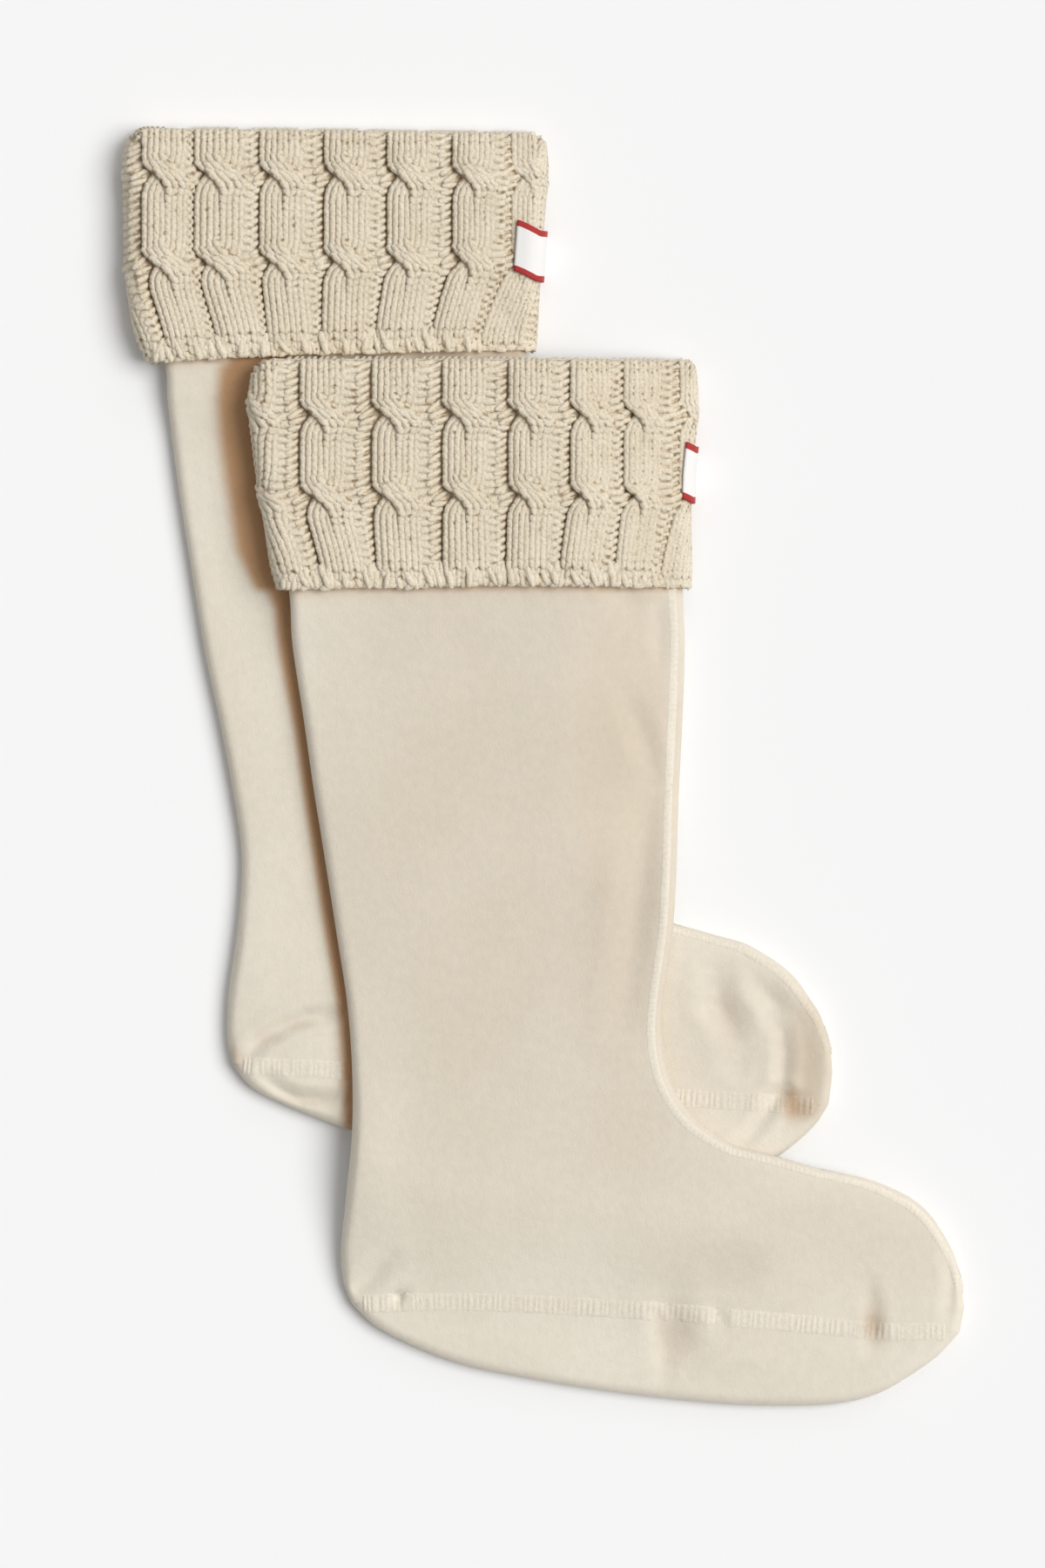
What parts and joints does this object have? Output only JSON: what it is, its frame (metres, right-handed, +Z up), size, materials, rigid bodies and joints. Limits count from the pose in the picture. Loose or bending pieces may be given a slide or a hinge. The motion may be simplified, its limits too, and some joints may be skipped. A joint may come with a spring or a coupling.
{
  "type": "pair of boot socks laid flat",
  "caption": "Pair of tall fleece boot socks laid flat, one partly on the other, each with a folded-down cable-knit cuff and a plain tape label.",
  "frame": {"origin": "centre of the pair's bounding box, on the surface that the socks lie on", "axes": "+Y from the toes' sole up the legs to the cuffs, +X from the backs of the legs towards the toes, +Z up from the surface"},
  "size_m": [0.3389, 0.5176, 0.0298],
  "materials": {
    "fleece": "soft cream fleece",
    "knit": "chunky cream cable knit",
    "tape": "smooth woven tape"
  },
  "bodies": {
    "root": {"rear_leg": "fleece", "rear_sole": "fleece", "rear_cuff": "knit", "rear_label": "tape", "front_leg": "fleece", "front_sole": "fleece", "front_cuff": "knit", "front_label": "tape"}
  },
  "joints": []
}
